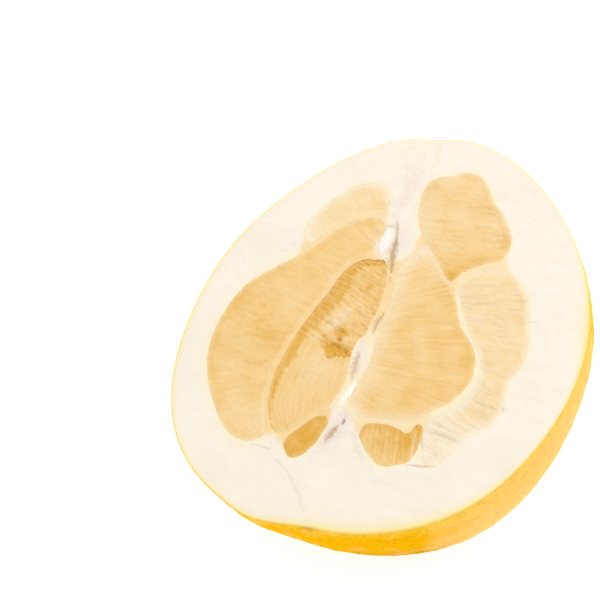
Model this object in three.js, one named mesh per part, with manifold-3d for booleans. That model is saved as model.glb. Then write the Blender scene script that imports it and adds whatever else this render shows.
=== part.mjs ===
// Half a pomelo, cut from the stem end to the blossom end, lying on its rounded side.
// Millimetres, +Z up. The half is drawn in the frame of its cut face, with u to the right, v towards
// the stem end and w out of the cut, and is then tipped and set down on its resting spot.

import * as THREE from 'three';
import { mergeVertices } from 'three/addons/utils/BufferGeometryUtils.js';
import Module from 'manifold-3d';

const wasm = await Module();
wasm.setup();

// Driving dimensions of the fruit
const CUT_RADIUS = 77.7;
const DOME_DEPTH = 80;
const RIND_THICKNESS = 2;
const LAYER_GAP = 0.3;
const CUT_TILT = THREE.MathUtils.degToRad(14);
const RESTING_FLAT_DEPTH = 1.5;

// Lobes that make the cut's outline longer towards the stem end: height in mm, peak in degrees
const OUTLINE_WAVES = [
  { lobes: 2, height: 4.65, peak: 58 },
  { lobes: 3, height: 2.15, peak: -39 },
  { lobes: 5, height: 0.95, peak: 1.3 },
];

// Dimples of the stem scar and the blossom scar, on the rim of the cut
const SCARS = [
  { angle: 79.4, depth: 1.6, spread: 9 },
  { angle: 254.9, depth: 0.8, spread: 8 },
];

// How far the rounded side's deepest point hangs over to one side, in mm, and towards which angle
const OVERHANG = { reach: 6.3, towards: 306 };

// Mesh density of the dome and of the segments
const DOME_SIDES = 54;
const DOME_RINGS = 14;
const RIDGE_PITCH = 5.2;
const TOP_COLUMNS = 6;
const WALL_COLUMNS = [0.16, 0.84];
const WALL_DEPTH_SHARE = 0.85;

// Colours
const RIND_COLOUR = '#f1bd35';
const PITH_COLOUR = '#fcf4e6';
const PULP_COLOUR = '#f3cd8c';
const PALE_PULP_COLOUR = '#f7dfb4';

// The pulp that the cut lays open. Each area lies between two sides that run from its stem end to
// its blossom end: the one towards the core and the one towards the rind.
const SEGMENTS = [
  {
    name: 'segment_left',
    colour: PULP_COLOUR,
    depth: 30,
    ridge: 0.5,
    stemEnd: [-3, 46.5],
    coreSide: [[-4.5, 38], [-14.5, 28.5], [-24.5, 14.5], [-36, -4.5], [-42, -23], [-39.5, -34]],
    rindSide: [[-14.5, 46], [-29, 34.5], [-45.5, 25.5], [-56.5, 15], [-62.5, 1.5], [-63, -13.5],
      [-58.5, -27.5], [-51.5, -38.5]],
    blossomEnd: [-40, -42],
  },
  {
    name: 'segment_upper_left',
    colour: PALE_PULP_COLOUR,
    depth: 12,
    ridge: 0.4,
    stemEnd: [-0.5, 56.5],
    coreSide: [[-2.5, 52], [-9, 50.5], [-16.5, 48], [-23, 43.5]],
    rindSide: [[-7, 62.5], [-16, 61], [-23, 56], [-29, 50], [-31.5, 44]],
    blossomEnd: [-30, 38.5],
  },
  {
    name: 'segment_torn',
    colour: PULP_COLOUR,
    depth: 26,
    ridge: 1.6,
    stemEnd: [-2, 30.5],
    coreSide: [[-0.5, 25], [-1.5, 14.5], [-3, 6.5], [-6, -1.5], [-10, -8], [-11.5, -17.5], [-14.5, -25],
      [-20.5, -31], [-27.5, -36]],
    rindSide: [[-8.5, 30.5], [-17, 22.5], [-23, 12.5], [-30.5, 1], [-36.5, -13], [-38.5, -23], [-37, -30.5]],
    blossomEnd: [-34, -36.5],
    hollow: { at: [-15, -6.5], radius: 5, depth: 4.5 },
  },
  {
    name: 'segment_right',
    colour: PULP_COLOUR,
    depth: 32,
    ridge: 0.5,
    stemEnd: [14.5, 35],
    coreSide: [[8.5, 31.5], [5, 25.5], [3, 16.5], [-1, 2], [-4, -14.5], [-9, -26.5]],
    rindSide: [[20, 24.5], [25, 16.5], [27.5, 6], [31.5, -3.5], [34.5, -13], [30.5, -24], [21.5, -30],
      [14, -34.5], [4, -33.5]],
    blossomEnd: [-7, -32.5],
  },
  {
    name: 'segment_top_right',
    colour: PULP_COLOUR,
    depth: 24,
    ridge: 0.7,
    stemEnd: [23.5, 63.5],
    coreSide: [[14.5, 61.5], [11.5, 52], [13, 39.5], [18.5, 30]],
    rindSide: [[32.5, 62.5], [37.5, 52.5], [43, 42], [44.5, 34.5], [37.5, 28], [29, 24.5]],
    blossomEnd: [24.5, 21],
  },
  {
    name: 'segment_outer_right',
    colour: PALE_PULP_COLOUR,
    depth: 24,
    ridge: 0.6,
    stemEnd: [27.5, 17],
    coreSide: [[29.5, 8], [34, -1.5], [37.5, -12], [34.5, -22.5], [26, -30.5], [19, -37.5]],
    rindSide: [[33, 23], [38.5, 26], [46, 21.5], [51.5, 12.5], [53, 0.5], [50.5, -14], [46, -26],
      [41, -36], [29.5, -45]],
    blossomEnd: [20.5, -51.5],
  },
  {
    name: 'segment_bottom',
    colour: PULP_COLOUR,
    depth: 14,
    ridge: 0.9,
    stemEnd: [-3.5, -42.5],
    coreSide: [[-2.5, -37.5], [3.5, -36.5], [10, -39.5], [14.5, -38.5]],
    rindSide: [[0.5, -49], [6.5, -52], [13, -50.5]],
    blossomEnd: [16, -42],
  },
  {
    name: 'segment_small',
    colour: PULP_COLOUR,
    depth: 10,
    ridge: 0.8,
    stemEnd: [-17.5, -34],
    coreSide: [[-24, -35.5], [-29, -40]],
    rindSide: [[-18.5, -40], [-24, -46.5]],
    blossomEnd: [-31, -46],
  },
];

// The split beside the top of the core
const CORE_SPLIT = {
  depth: 7,
  stemEnd: [3, 46],
  coreSide: [[2.7, 38.5], [1.9, 31.5]],
  rindSide: [[4.4, 38], [3.6, 31]],
  blossomEnd: [2.2, 24.5],
};

// A small seeded generator, so that the torn pulp is uneven but always the same
function seededRandom(seed) {
  let state = seed;
  return () => {
    state = (state * 16807) % 2147483647;
    return state / 2147483647;
  };
}

// Triangles of a sheet given as rows of points. Where neighbouring points are one, a face is dropped.
function sheetTriangles(rows, facesUp = true) {
  const triangles = [];
  for (let i = 1; i < rows.length; i += 1) {
    for (let m = 1; m < rows[i].length; m += 1) {
      const corners = [rows[i - 1][m - 1], rows[i][m - 1], rows[i][m], rows[i - 1][m]];
      for (const [a, b, c] of [[0, 1, 2], [0, 2, 3]]) {
        const face = [corners[a], corners[b], corners[c]];
        if (new Set(face).size === 3) {
          triangles.push(facesUp ? face : face.reverse());
        }
      }
    }
  }
  return triangles;
}

function closedGeometry(triangles) {
  const geometry = new THREE.BufferGeometry();
  geometry.setFromPoints(triangles.flat());
  return mergeVertices(geometry, 1e-4);
}

function toSolid(geometry) {
  const bare = geometry.clone();
  bare.deleteAttribute('normal');
  bare.deleteAttribute('uv');
  const merged = mergeVertices(bare, 1e-4);
  return new wasm.Manifold(new wasm.Mesh({
    numProp: 3,
    vertProperties: new Float32Array(merged.attributes.position.array),
    triVerts: new Uint32Array(merged.index.array),
  }));
}

function toGeometry(solid) {
  const mesh = solid.getMesh();
  const geometry = new THREE.BufferGeometry();
  geometry.setAttribute('position', new THREE.BufferAttribute(mesh.vertProperties, 3));
  geometry.setIndex(new THREE.BufferAttribute(mesh.triVerts, 1));
  return geometry;
}

// Height that the outline's lobes and scars add to the radius, in the direction (around, down)
function outlineLobes(around) {
  return OUTLINE_WAVES.reduce((sum, { lobes, height, peak }) => (
    sum + height * Math.cos(lobes * (around - THREE.MathUtils.degToRad(peak)))
  ), 0);
}

function scarDepth(around, down) {
  return SCARS.reduce((sum, { angle, depth, spread }) => {
    const towardsScar = Math.cos(down) * Math.cos(around - THREE.MathUtils.degToRad(angle));
    const distance = CUT_RADIUS * Math.acos(Math.min(towardsScar, 1));
    return sum + depth * Math.exp(-((distance / spread) ** 2));
  }, 0);
}

// The middle of a ring of the dome, which hangs over more the deeper the ring lies
function ringCentre(down, w) {
  const towards = THREE.MathUtils.degToRad(OVERHANG.towards);
  const reach = OVERHANG.reach * Math.sin(down);
  return new THREE.Vector3(reach * Math.cos(towards), reach * Math.sin(towards), w);
}

// Rows of points of the half fruit's outside, set in by inset, from the cut down to its lowest point.
// A lift above zero carries the rim straight up past the cut.
function domeRows(inset, lift) {
  const ring = (down, w) => {
    const centre = ringCentre(down, w);
    const points = [];
    for (let j = 0; j < DOME_SIDES; j += 1) {
      const around = (j / DOME_SIDES) * 2 * Math.PI;
      const lobes = outlineLobes(around) * Math.cos(down);
      const radius = (CUT_RADIUS + lobes - scarDepth(around, down) - inset) * Math.cos(down);
      const reach = new THREE.Vector3(radius * Math.cos(around), radius * Math.sin(around), 0);
      points.push(reach.add(centre));
    }
    points.push(points[0]);
    return points;
  };
  const repeated = (point) => Array(DOME_SIDES + 1).fill(point);
  const rows = [repeated(new THREE.Vector3(0, 0, lift))];
  if (lift > 0) {
    rows.push(ring(0, lift));
  }
  for (let i = 0; i < DOME_RINGS; i += 1) {
    const down = (i / DOME_RINGS) * (Math.PI / 2);
    rows.push(ring(down, -(DOME_DEPTH - inset) * Math.sin(down)));
  }
  rows.push(repeated(ringCentre(Math.PI / 2, -(DOME_DEPTH - inset))));
  return rows;
}

// The direction that is straight up once the half is tipped, and the level that it rests on
const upward = new THREE.Vector3(Math.sin(CUT_TILT), 0, Math.cos(CUT_TILT));
const lowestReach = Math.min(...domeRows(0, 0).flat().map((point) => point.dot(upward)));
const floorLevel = lowestReach + RESTING_FLAT_DEPTH;

// A layer of the half: the dome set in by inset, and as far above the resting level at its foot
function domeLayer(inset, lift = 0) {
  const size = 4 * CUT_RADIUS;
  const block = new THREE.BoxGeometry(size, size, size);
  block.rotateY(CUT_TILT);
  const centre = upward.clone().multiplyScalar(floorLevel + inset + size / 2);
  block.translate(centre.x, centre.y, centre.z);
  return toSolid(closedGeometry(sheetTriangles(domeRows(inset, lift)))).intersect(toSolid(block));
}

// A closed outline moved outwards by grow
function grownOutline(outline, grow) {
  const turn = Math.sign(THREE.ShapeUtils.area(outline));
  return outline.map((point, i) => {
    const before = outline[(i + outline.length - 1) % outline.length];
    const after = outline[(i + 1) % outline.length];
    const along = after.clone().sub(before).normalize();
    return new THREE.Vector3(point.x + turn * grow * along.y, point.y - turn * grow * along.x, grow);
  });
}

// The two sides of a segment as matching stations from its stem end to its blossom end, with the
// one on the left, as seen down the segment, first
function segmentSides({ stemEnd, coreSide, rindSide, blossomEnd }, grow) {
  const curves = [coreSide, rindSide].map((side) => {
    const points = [stemEnd, ...side, blossomEnd].map(([u, v]) => new THREE.Vector3(u, v, 0));
    return new THREE.CatmullRomCurve3(points, false, 'centripetal');
  });
  const length = (curves[0].getLength() + curves[1].getLength()) / 2;
  const stations = 2 * Math.max(Math.round(length / RIDGE_PITCH), 3);
  const [core, rind] = curves.map((curve) => curve.getSpacedPoints(stations));
  const outline = grownOutline([...core, ...rind.slice(1, -1).reverse()], grow);
  const first = outline.slice(0, stations + 1);
  const second = [outline[0], ...outline.slice(stations + 1).reverse(), outline[stations]];
  return THREE.ShapeUtils.area(outline) > 0 ? [first, second] : [second, first];
}

// The closed body of a segment: its cut top, with the ridges of the juice sacs across it, and its
// rounded underside. With grow it is the plain pocket that the segment lies in.
function segmentBody(segment, grow = 0) {
  const [left, right] = segmentSides(segment, grow);
  const stations = left.length - 1;
  const random = seededRandom(11);
  const between = (i, share, w) => {
    const point = left[i].clone().lerp(right[i], share);
    return point.setZ(w);
  };
  const relief = (i, share) => {
    if (grow > 0) {
      return grow;
    }
    const crest = i % 2 ? segment.ridge * (0.4 + 0.6 * random()) : -segment.ridge * 0.4 * random();
    let w = crest * Math.min(1, 3 * Math.sin(Math.PI * share));
    if (segment.hollow) {
      const { at, radius, depth } = segment.hollow;
      const place = between(i, share, 0);
      w -= depth * Math.exp(-(((place.x - at[0]) ** 2 + (place.y - at[1]) ** 2) / radius ** 2));
    }
    return w;
  };
  const sheet = (shares, height) => left.map((edge, i) => {
    if (i === 0 || i === stations) {
      return Array(shares.length + 2).fill(edge);
    }
    return [edge, ...shares.map((share) => between(i, share, height(i, share))), right[i]];
  });
  const topShares = Array.from({ length: TOP_COLUMNS - 1 }, (_, m) => (m + 1) / TOP_COLUMNS);
  const wallHeight = (i) => {
    const fullness = Math.sqrt(Math.sin((Math.PI * i) / stations));
    return -segment.depth * WALL_DEPTH_SHARE * fullness - grow;
  };
  const underside = sheet([WALL_COLUMNS[0], 0.5, WALL_COLUMNS[1]], (i, share) => (
    share === 0.5 ? wallHeight(i) / WALL_DEPTH_SHARE : wallHeight(i)
  ));
  const top = sheet(grow > 0 ? [] : topShares, relief);
  return closedGeometry([...sheetTriangles(top), ...sheetTriangles(underside, false)]);
}

function layerMesh(name, geometry, colour, roughness) {
  const material = new THREE.MeshStandardMaterial({ color: colour, roughness, metalness: 0 });
  const mesh = new THREE.Mesh(geometry, material);
  mesh.name = name;
  return mesh;
}

// The rind is a shell, open at the cut
function makeRind() {
  const shell = domeLayer(0).subtract(domeLayer(RIND_THICKNESS, 1));
  return layerMesh('rind', toGeometry(shell), RIND_COLOUR, 0.45);
}

// The pith fills the rind and holds the pulp, with the core and the membranes between the segments
function makePith() {
  let body = domeLayer(RIND_THICKNESS + LAYER_GAP);
  for (const hollow of [...SEGMENTS, CORE_SPLIT]) {
    body = body.subtract(toSolid(segmentBody(hollow, LAYER_GAP)));
  }
  return layerMesh('pith', toGeometry(body), PITH_COLOUR, 0.85);
}

const half = new THREE.Group();
half.add(makeRind(), makePith());
for (const segment of SEGMENTS) {
  half.add(layerMesh(segment.name, segmentBody(segment), segment.colour, 0.35));
}

// Tip the half, and put the middle of its footprint and its resting flat on the origin
half.rotation.y = -CUT_TILT;
half.updateMatrixWorld(true);
const box = new THREE.Box3().setFromObject(half, true);
half.position.set(-(box.min.x + box.max.x) / 2, -(box.min.y + box.max.y) / 2, -floorLevel);

const pomelo = new THREE.Group();
pomelo.add(half);

export default pomelo;
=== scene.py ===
"""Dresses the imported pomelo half: a waxy rind, soft white pith and pulp made of juice sacs.

Shapes are worked out in millimetres in the frame of the cut face, u to the right, v towards the
stem end and w out of the cut. They are then tipped as the half lies, and set down in metres.
"""

import math

import bpy
import numpy as np
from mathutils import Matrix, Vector
from mathutils.geometry import delaunay_2d_cdt


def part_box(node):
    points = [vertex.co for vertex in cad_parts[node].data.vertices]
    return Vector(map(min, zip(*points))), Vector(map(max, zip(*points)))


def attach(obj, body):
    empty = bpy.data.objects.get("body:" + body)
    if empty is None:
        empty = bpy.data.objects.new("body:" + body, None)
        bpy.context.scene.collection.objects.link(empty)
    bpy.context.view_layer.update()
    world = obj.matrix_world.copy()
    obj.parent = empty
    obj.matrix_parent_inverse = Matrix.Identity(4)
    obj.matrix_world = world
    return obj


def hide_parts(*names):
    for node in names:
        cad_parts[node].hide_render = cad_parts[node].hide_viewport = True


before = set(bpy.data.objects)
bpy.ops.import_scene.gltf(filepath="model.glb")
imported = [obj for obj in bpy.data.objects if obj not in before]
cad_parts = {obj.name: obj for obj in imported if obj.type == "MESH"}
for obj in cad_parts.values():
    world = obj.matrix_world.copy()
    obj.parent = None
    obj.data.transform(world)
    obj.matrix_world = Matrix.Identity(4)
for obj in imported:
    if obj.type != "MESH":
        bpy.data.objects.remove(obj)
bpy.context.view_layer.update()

MM = 0.001

# The fruit's driving dimensions, in millimetres, as its solids have them
CUT_RADIUS = 77.7
DOME_DEPTH = 80.0
RIND_THICKNESS = 2.0
LAYER_GAP = 0.3
CUT_TILT = math.radians(14)
RESTING_FLAT_DEPTH = 1.5
OVERHANG = {"reach": 6.3, "towards": math.radians(306)}
STEM_SCAR = {"angle": 79.4, "depth": 1.6, "spread": 9.0}
BLOSSOM_SCAR = {"angle": 254.9, "depth": 0.8, "spread": 8.0}

# Waves of the cut's outline: how many lobes, how high and where they peak in degrees
OUTLINE_WAVES = [(2, 4.65, 58.0), (3, 2.15, -39.0), (5, 0.95, 1.3)]

# Where the rim swells, where the dome is slimmer under the cut, and where the peel's yellow reaches
# further into the cut. Each arc is its middle in degrees, its height in millimetres, and its spread
# as the sine of half an angle. The dome is as slim as it gets from that many radians down.
RIM_SWELLS = [(238.5, 1.4, 0.06)]
DOME_SLIMS = [(228, 5.0, 0.14), (345, 0.9, 0.15)]
SLIM_FULL_AT = 0.35
PEEL_REACH = 0.35
PEEL_REACHES = [(275, 2.0, 0.26), (175, 0.45, 0.5), (0, 1.3, 0.12)]

# The rind's cut edge, from its rounded rim to the pith, as inset and lift in millimetres
CUT_EDGE = [
    (0.0, -0.42), (0.08, -0.2), (0.25, -0.06), (0.5, 0.0), (0.9, 0.01), (1.4, 0.01), (1.94, 0.0),
    (1.96, -0.6),
]

# Uneven surfaces as sums of ripples: height and size in millimetres, and seed
CUT_SWELLS = [(0.08, 9.0, 21), (0.04, 3.0, 22), (0.03, 1.6, 23)]
SKIN_SWELLS = [(0.08, 11.0, 41), (0.05, 4.0, 42)]
SIDE_WOBBLES = [(0.06, 5.0, 5), (0.03, 2.0, 6)]

# Seeds of the points on the cut and of the juice sacs
FACE_SEED = 3
FIRST_SAC_SEED = 100
SAC_SEED_STEP = 10

# Mesh density: sides and rings of the dome, how far down in radians the last ring of the skin is,
# and the spacing of points on the cut in millimetres
DOME_SIDES = 400
DOME_RINGS = 110
LAST_RING = 0.012
INNER_RINGS = 16
STATION_SPACING = 0.5
COLUMN_SPACING = 0.6
FACE_SPACING = 0.8
MARK_SPACING = 0.36

# The pockets and the pulp's underside: shares across a segment, and how deep each lies
WALL_SHARES = (0.03, 0.16, 0.5, 0.84, 0.97)
WALL_DEPTHS = np.array([0.35, 0.85, 1.0, 0.85, 0.35])

# How far the pith's rim reaches under the rind's edge and a segment's edge into the pith, how far a
# segment's edge lies under the cut, and how sharp a fold stays unsmoothed
RIM_TUCK = 0.2
TUCK = 0.25
EDGE_DROP = 0.22
SHARP_FOLD = math.radians(40)

# The view of the photograph
VIEW_ELEVATION = math.radians(64.35)
VIEW_DISTANCE = 750.0
VIEW_LENS = 125.0
VIEW_CENTRE = (2.0, -4.84, 0.0)
VIEW_TARGET = (-31.5, 14.4, 0.0)

# The pulp areas. Each lies between two sides that run from its stem end to its blossom end, and grow
# moves its core side and its rind side outwards in millimetres. Sacs lie across it, a sac's width
# and length apart, and slant moves them down the segment on the rind side. Relief is how high they
# stand. Gold runs from pale at 0 to deep at 1. Lines is how strong its fine dark lines are.
SEGMENTS = [
    {
        "name": "segment_left", "slot": "pulp", "depth": 29.0, "grow": (0.0, 1.0),
        "sac": (3.4, 17.0), "slant": 0.0, "relief": 0.12, "gold": 0.42, "lines": 0.2,
        "stem": (-2.4, 45.4),
        "core": [(-1.7, 43.4), (-2.2, 40.6), (-4.4, 37.6), (-6, 34.2), (-13.4, 29.8), (-16.9, 26.7),
                 (-20.6, 20.6), (-32.1, 2.4), (-35.2, -3.7), (-39.4, -15), (-40.8, -22.5), (-40.6, -29),
                 (-39.9, -34.2), (-40.2, -38)],
        "rind": [(-6.6, 47.2), (-14.5, 45.5), (-21, 41.3), (-29, 34.5), (-37.5, 30), (-52, 21),
                 (-56.5, 15), (-60, 8.5), (-62.5, 1.5), (-63.5, -5.5), (-63, -13.5), (-61.5, -19.5),
                 (-55, -34.5), (-51, -38.8), (-47, -40.8), (-43.6, -41)],
        "blossom": (-41.4, -40.2),
    },
    {
        "name": "segment_upper_left", "slot": "pulp_pale", "depth": 11.0, "grow": (0.0, 0.3),
        "sac": (3.0, 9.0), "slant": 0.0, "relief": 0.08, "gold": 0.06, "lines": 0.15,
        "stem": (-0.5, 56.5),
        "core": [(-0.7, 54), (-2.2, 52.2), (-6, 51.4), (-12, 51), (-16.5, 48.7), (-21, 45.2),
                 (-25.5, 42), (-28, 39.6)],
        "rind": [(-2.5, 60.5), (-7, 62.5), (-11.5, 62.5), (-16, 61), (-19, 58.5), (-23, 56), (-26, 53),
                 (-29, 50), (-31.5, 45.5), (-32, 41.5)],
        "blossom": (-30.5, 38.5),
    },
    {
        "name": "segment_torn", "slot": "pulp", "depth": 25.0, "grow": (0.0, 0.0),
        "sac": (1.7, 6.0), "slant": 0.0, "relief": 0.4, "gold": 0.4, "lines": 0.8,
        "stem": (-1.0, 30.2),
        "core": [(0.3, 27), (0.3, 19.5), (-0.9, 14.5), (-1.4, 11), (-4.4, 3.5), (-5.9, -0.5),
                 (-8.4, -3), (-9.9, -7), (-11.3, -17.5), (-12.3, -21), (-16.7, -28.5), (-20, -30.7),
                 (-28, -36), (-31.5, -37.6)],
        "rind": [(-4.2, 30.4), (-8.6, 30.6), (-12.4, 28.9), (-15.8, 26), (-19.5, 20), (-31, 1.8),
                 (-36.4, -10.2), (-38.1, -14.8), (-39.4, -22.8), (-38.1, -33.8)],
        "blossom": (-35.3, -38.7),
    },
    {
        "name": "segment_right", "slot": "pulp", "depth": 31.0, "grow": (0.3, 0.9),
        "sac": (3.0, 15.0), "slant": -0.8, "relief": 0.14, "gold": 0.44, "lines": 0.5,
        "stem": (14.0, 35.0),
        "core": [(9, 32), (6, 28.5), (4.4, 23.5), (3.9, 18), (2.2, 10.5), (-0.3, 3), (-1.5, -5),
                 (-4, -15), (-7, -21), (-9, -27)],
        "rind": [(16.2, 33), (18.6, 28), (21, 23), (24, 17.5), (25.8, 12.5), (28, 2.5), (33.6, -8),
                 (34.2, -13.5), (33.2, -19.5), (26.2, -27.6), (21, -30.1), (17, -32.6), (13.5, -34.1),
                 (4, -33), (-2, -32.8), (-5.5, -33.3)],
        "blossom": (-8.5, -31.0),
    },
    {
        "name": "segment_top_right", "slot": "pulp", "depth": 23.0, "grow": (0.9, 1.1),
        "sac": (2.6, 11.0), "slant": 0.1, "relief": 0.16, "gold": 0.44, "lines": 0.4,
        "stem": (24.0, 64.0),
        "core": [(20, 63.5), (15.5, 62.5), (12.5, 58), (11.5, 52), (11.8, 45), (13.6, 38.8),
                 (16.6, 34.7), (19.6, 28.9)],
        "rind": [(28, 64.5), (32.5, 62.5), (35.5, 57.5), (37.5, 52), (40.5, 47.5), (44.5, 37), (44, 33),
                 (41.5, 29), (37.5, 28.4), (28, 24.6)],
        "blossom": (24.5, 21.2),
    },
    {
        "name": "segment_outer_right", "slot": "pulp_pale", "depth": 23.0, "grow": (0.0, 0.8),
        "sac": (2.4, 12.0), "slant": 0.25, "relief": 0.1, "gold": 0.1, "lines": 0.3,
        "stem": (37.5, 24.6),
        "core": [(33, 22.8), (29.2, 20.6), (27.2, 17.6), (28.3, 12.7), (29.2, 9), (34, -4.5),
                 (36.3, -9.3), (37.2, -13.8), (36.8, -18.5), (35.2, -23.1), (31.5, -27.8),
                 (26.5, -31.2), (21.3, -34.6), (19, -39), (18.6, -45), (19, -50)],
        "rind": [(46, 21.5), (52, 12.5), (52.5, 6.5), (53, 1), (52.5, -9.5), (51, -14.5), (47, -20),
                 (45.5, -26), (44.5, -31), (41, -36), (34, -40), (29, -45.5), (24.5, -50)],
        "blossom": (21.0, -51.5),
    },
    {
        "name": "segment_bottom", "slot": "pulp", "depth": 13.0, "grow": (0.4, 0.0),
        # Its deep gold is partly the pulp's own and partly painted shade in the sunken tip
        "sac": (3.0, 7.0), "slant": 0.0, "relief": 0.3, "gold": 0.72, "lines": 0.5,
        "stem": (-4.5, -40.5),
        "core": [(-3.5, -37.3), (-1.5, -36), (6, -36.8), (12, -39.8), (14, -39.3), (15.2, -37.3),
                 (16.5, -36.4), (17.6, -37.6)],
        "rind": [(-2.5, -45), (2.5, -51), (6, -52), (10, -51.5), (13.5, -50.5), (15.5, -48),
                 (16.9, -44.5)],
        "blossom": (17.6, -40.0),
    },
    {
        "name": "segment_small", "slot": "pulp", "depth": 9.5, "grow": (0.3, 0.2),
        # Its deep gold is partly the pulp's own and partly painted shade in the sunken tip
        "sac": (2.6, 6.0), "slant": 0.0, "relief": 0.25, "gold": 0.86, "lines": 0.4,
        "stem": (-17.5, -32.9),
        "core": [(-20, -32.6), (-22.5, -33.8), (-26.5, -37.1), (-30.5, -40.4), (-31.7, -43.5)],
        "rind": [(-16.7, -34.8), (-18, -38), (-20.5, -42.5), (-23.5, -46), (-27, -48), (-29.5, -48)],
        "blossom": (-30.8, -46.0),
    },
]

# The torn segment: how wide the deep gold band on its rind side is along the segment, where its
# sacs turn lengthwise, its hollows as place, radius, depth and tone, and its whitish scraps of
# membrane as place and radius. The band's deeper gold is partly painted shade on that sunken side.
TORN_BAND = {
    "station": (0, 0.1, 0.29, 0.35, 0.45, 0.56, 0.64, 0.72, 0.9, 1),
    "width": (0.8, 2.6, 5.8, 6.2, 4.8, 3.4, 4.2, 3.0, 1.0, 0),
}
TORN_TURN = 0.52
TORN_HOLLOWS = [
    ((-16.2, -5.8), 2.7, 1.6, 1.2), ((-18.6, -6.2), 1.7, 0.8, 0.9), ((-12.6, -7.4), 1.5, 1.1, 0.9),
    ((-14.4, 0.9), 2.1, 0.6, 0.5), ((-20.2, -2.6), 1.8, 0.3, 0.35), ((-2.2, 7.6), 1.3, 0.4, 0.4),
    ((-6.0, 19.0), 1.4, 0.4, 0.3),
]
TORN_SCRAPS = [
    ((-14.6, 6.8), 2.3), ((-17.4, 4.2), 1.9), ((-20.0, 2.2), 1.6), ((-12.6, 10.0), 1.2),
    ((-24.0, -1.4), 1.5), ((-21.6, -7.8), 1.6), ((-12.6, -2.6), 1.1), ((-25.0, -11.5), 3.0),
    ((-19.6, -12.6), 3.2), ((-24.6, -17.0), 2.6),
]

# The walls between neighbouring segments: how wide they are at most in millimetres, how golden, and
# the height along the cut from which on they are so. Past a wall's width its film fades out.
WALL_FADE = 4.5
ALL_ALONG = -100
WALLS = [
    ("segment_left", "segment_torn", 3.0, 1.0, ALL_ALONG),
    ("segment_upper_left", "segment_left", 4.6, 0.7, ALL_ALONG),
    ("segment_torn", "segment_right", 4.8, 0.8, 2),
    ("segment_right", "segment_top_right", 3.4, 0.75, ALL_ALONG),
    ("segment_torn", "segment_small", 3.6, 0.95, ALL_ALONG),
    ("segment_right", "segment_bottom", 4.2, 0.55, ALL_ALONG),
    ("segment_top_right", "segment_outer_right", 4.6, 0.5, ALL_ALONG),
    ("segment_right", "segment_outer_right", 3.5, 0.1, ALL_ALONG),
]

# Marks on the pith: a path, its width and depth in millimetres, how strong its colour is, and the
# colour. A negative depth stands up out of the cut. The cracks and the notch among them are coloured
# with painted shade.
GREY_BROWN = (0.50, 0.31, 0.16)
TAN_GREY = (0.58, 0.42, 0.29)
DARK_BROWN = (0.16, 0.09, 0.06)
SOFT_GREY = (0.56, 0.46, 0.41)
STEM_TINT = (0.80, 0.62, 0.34)
BRIGHT_WHITE = (0.86, 0.85, 0.81)
MARKS = [
    # The crack beside the core: its grey-brown is painted shade in the crack
    ([(2.6, 46), (3.0, 41.5), (3.0, 37.5)], 0.55, 0.4, 0.75, GREY_BROWN),
    ([(3.0, 39.5), (2.5, 36), (2.0, 33.5), (1.8, 31), (1.9, 28.5), (2.0, 25)], 1.25, 0.8, 1.0, GREY_BROWN),
    ([(-1.3, 44.4), (0.6, 44.0), (2.6, 44.6)], 0.8, 0.2, 0.5, SOFT_GREY),
    ([(1.9, 23), (1.6, 20.5)], 0.6, 0.4, 0.6, TAN_GREY),
    ([(0.6, 8), (-1.6, 4.5), (-2.9, 0.5)], 0.8, 0.4, 0.7, GREY_BROWN),
    # Painted shade of the crack between the torn segment and the core
    ([(-7.4, -7.5), (-8.5, -12), (-9.2, -18)], 1.3, 0.6, 0.9, TAN_GREY),
    ([(-8, -20), (-9.5, -23.5), (-12.5, -27.5)], 1.6, -0.5, 0.9, BRIGHT_WHITE),
    # Dark dots and a streak where the crack runs down: painted shade in the crack
    ([(-10.6, -33.6), (-11.2, -35.8)], 0.6, 0.6, 0.85, DARK_BROWN),
    ([(-12.8, -36.2), (-14.3, -38), (-15.8, -40.3), (-16.8, -42.2)], 1.3, 0.5, 0.85, GREY_BROWN),
    ([(-14.2, -37.9), (-16.2, -41)], 0.9, 0.2, 0.4, DARK_BROWN),
    ([(-44.5, -42.9), (-41.5, -43.6), (-38.5, -44.7), (-36.5, -45.2)], 0.3, 0.3, 0.45, SOFT_GREY),
    ([(-34, -49.5), (-30.5, -53), (-27.5, -57.5), (-24.5, -63), (-22.5, -68.5)], 0.7, 0.25, 0.22,
     SOFT_GREY),
    ([(46, -30.5), (46, -32.3)], 0.9, 0.2, 0.5, SOFT_GREY),
    # The dark line of a knife crack: painted shade in the crack
    ([(13.5, -51.6), (18, -52.2), (23.5, -52.2)], 0.35, 0.4, 0.55, GREY_BROWN),
    # Painted shade in the notch at the bottom pocket's right end
    ([(18.2, -38), (17.9, -43), (19.4, -47.5)], 0.7, 0.3, 0.3, GREY_BROWN),
    ([(-8.5, -29), (-12.5, -37.5), (-18, -44)], 2.6, 0.15, 0.3, SOFT_GREY),
    ([(-6.8, -39), (-5.5, -45), (-2.5, -49.5)], 1.6, 0.1, 0.22, SOFT_GREY),
    ([(-37.5, 38), (-35, 38.5)], 0.7, 0.1, 0.25, SOFT_GREY),
    ([(-41, 35), (-38.5, 35.5)], 0.7, 0.1, 0.2, SOFT_GREY),
    ([(16.5, 82), (16, 76.5), (15, 70), (14.5, 67)], 1.6, 0.15, 0.3, STEM_TINT),
    ([(53.8, 2.7), (55, 3), (57.5, 2.2)], 0.3, 0.3, 0.3, SOFT_GREY),
]

# Bright specks on the top right segment as place and radius, and the middle of the core
TOP_RIGHT_SPECKS = [((39.4, 37.2), 0.7), ((40.8, 34.4), 0.5), ((37.9, 34.1), 0.8), ((41.9, 37.6), 0.45)]
CORE_PATH = [(7, 62), (4, 50), (1, 36), (0, 12), (-6, -4), (-9, -20), (-13, -30), (-17, -42)]

# A white lens that stands up beside the core
CORE_LENS = {
    "at": (-1.2, 37.6), "half_width": 2.3, "half_length": 6.0, "lean": math.radians(-12), "height": 1.0,
}

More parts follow.
